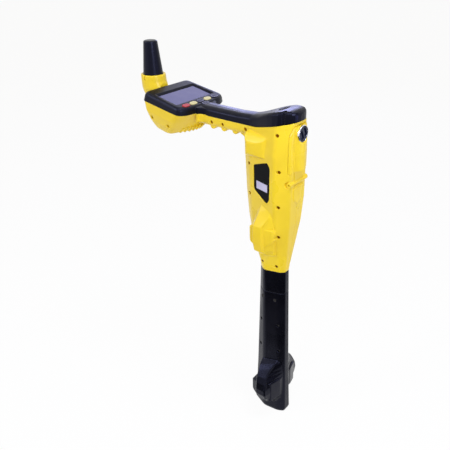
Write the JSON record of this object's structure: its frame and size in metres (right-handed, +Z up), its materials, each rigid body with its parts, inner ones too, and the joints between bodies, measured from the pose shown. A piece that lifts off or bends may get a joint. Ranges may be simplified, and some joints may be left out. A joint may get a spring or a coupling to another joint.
{
  "type": "cable locator",
  "caption": "Hand-held buried cable locator with a clamshell mast, forward handle and tilted display head, stub antenna, hinged battery door with turn lock, and a tube foot.",
  "frame": {"origin": "middle of the sole pad's underside, on the tube's axis", "axes": "+X forward to the display and antenna, +Y to the operator's left, +Z up the mast"},
  "size_m": [0.354, 0.1204, 0.719],
  "materials": {
    "body": "satin moulded yellow",
    "cover": "satin moulded black",
    "foot": "satin moulded black",
    "window": "clear over a lavender grey display",
    "lcd": "display glass, off",
    "board": "solder mask",
    "steel": "plain",
    "chrome": "polished",
    "knob": "satin",
    "key_red": "satin",
    "key_cream": "satin",
    "key_dark": "satin",
    "inner_dark": "matte",
    "rubber": "matte",
    "label": "blank film",
    "pack": "matte",
    "former": "matte",
    "brass": "plain",
    "ferrite": "ground",
    "copper": "wound wire"
  },
  "bodies": {
    "locator": {"left_body_shell": "body", "right_body_shell": "body", "top_cover": "cover", "display_window": "window", "lcd_module": "lcd", "main_board": "board", "board_screws": "steel", "keypad_mat": "rubber", "loudspeaker": "inner_dark", "headset_socket": "inner_dark", "antenna_radome": "cover", "radio_antenna": "former", "label_plate": "label", "door_hinge_pin": "steel", "door_seal": "rubber", "battery_pack": "pack", "battery_contacts": "brass", "sleeve": "cover", "left_foot_shell": "foot", "right_foot_shell": "foot", "sole_pad": "rubber", "upper_antenna_rod": "ferrite", "upper_antenna_coil": "copper", "middle_antenna_rod": "ferrite", "middle_antenna_coil": "copper", "lower_antenna_rod": "ferrite", "lower_antenna_coil": "copper", "shell_screws": "steel", "handle_screws": "steel", "foot_screws": "steel"},
    "door": {"battery_door": "body", "lock_ring": "chrome"},
    "lock": {"lock_knob": "knob", "lock_cam": "steel"},
    "key_power": {"power_key": "key_red"},
    "key_select": {"select_key": "key_cream"},
    "key_gain": {"gain_key": "key_cream"},
    "key_left": {"left_key": "key_dark"},
    "key_right": {"right_key": "key_dark"},
    "key_menu": {"menu_key": "key_dark"}
  },
  "joints": [
    {"name": "door_hinge", "type": "hinge", "parent": "locator", "child": "door", "pos_m": [-0.036, 0, 0.528], "axis": [0, -1, 0], "range_deg": [0, 110]},
    {"name": "lock_turn", "type": "hinge", "parent": "door", "child": "lock", "pos_m": [-0.045, 0, 0.611], "axis": [1, 0, 0], "range_deg": [0, 90]},
    {"name": "power_press", "type": "slide", "parent": "locator", "child": "key_power", "axis": [0.1822, 0, -0.9833], "range_m": [0, 0.0008], "stiffness_N_per_m": 800},
    {"name": "select_press", "type": "slide", "parent": "locator", "child": "key_select", "axis": [0.1822, 0, -0.9833], "range_m": [0, 0.0008], "stiffness_N_per_m": 800},
    {"name": "gain_press", "type": "slide", "parent": "locator", "child": "key_gain", "axis": [0.1822, 0, -0.9833], "range_m": [0, 0.0008], "stiffness_N_per_m": 800},
    {"name": "left_press", "type": "slide", "parent": "locator", "child": "key_left", "axis": [0.1822, 0, -0.9833], "range_m": [0, 0.0008], "stiffness_N_per_m": 800},
    {"name": "right_press", "type": "slide", "parent": "locator", "child": "key_right", "axis": [0.1822, 0, -0.9833], "range_m": [0, 0.0008], "stiffness_N_per_m": 800},
    {"name": "menu_press", "type": "slide", "parent": "locator", "child": "key_menu", "axis": [0.1822, 0, -0.9833], "range_m": [0, 0.0008], "stiffness_N_per_m": 800}
  ]
}
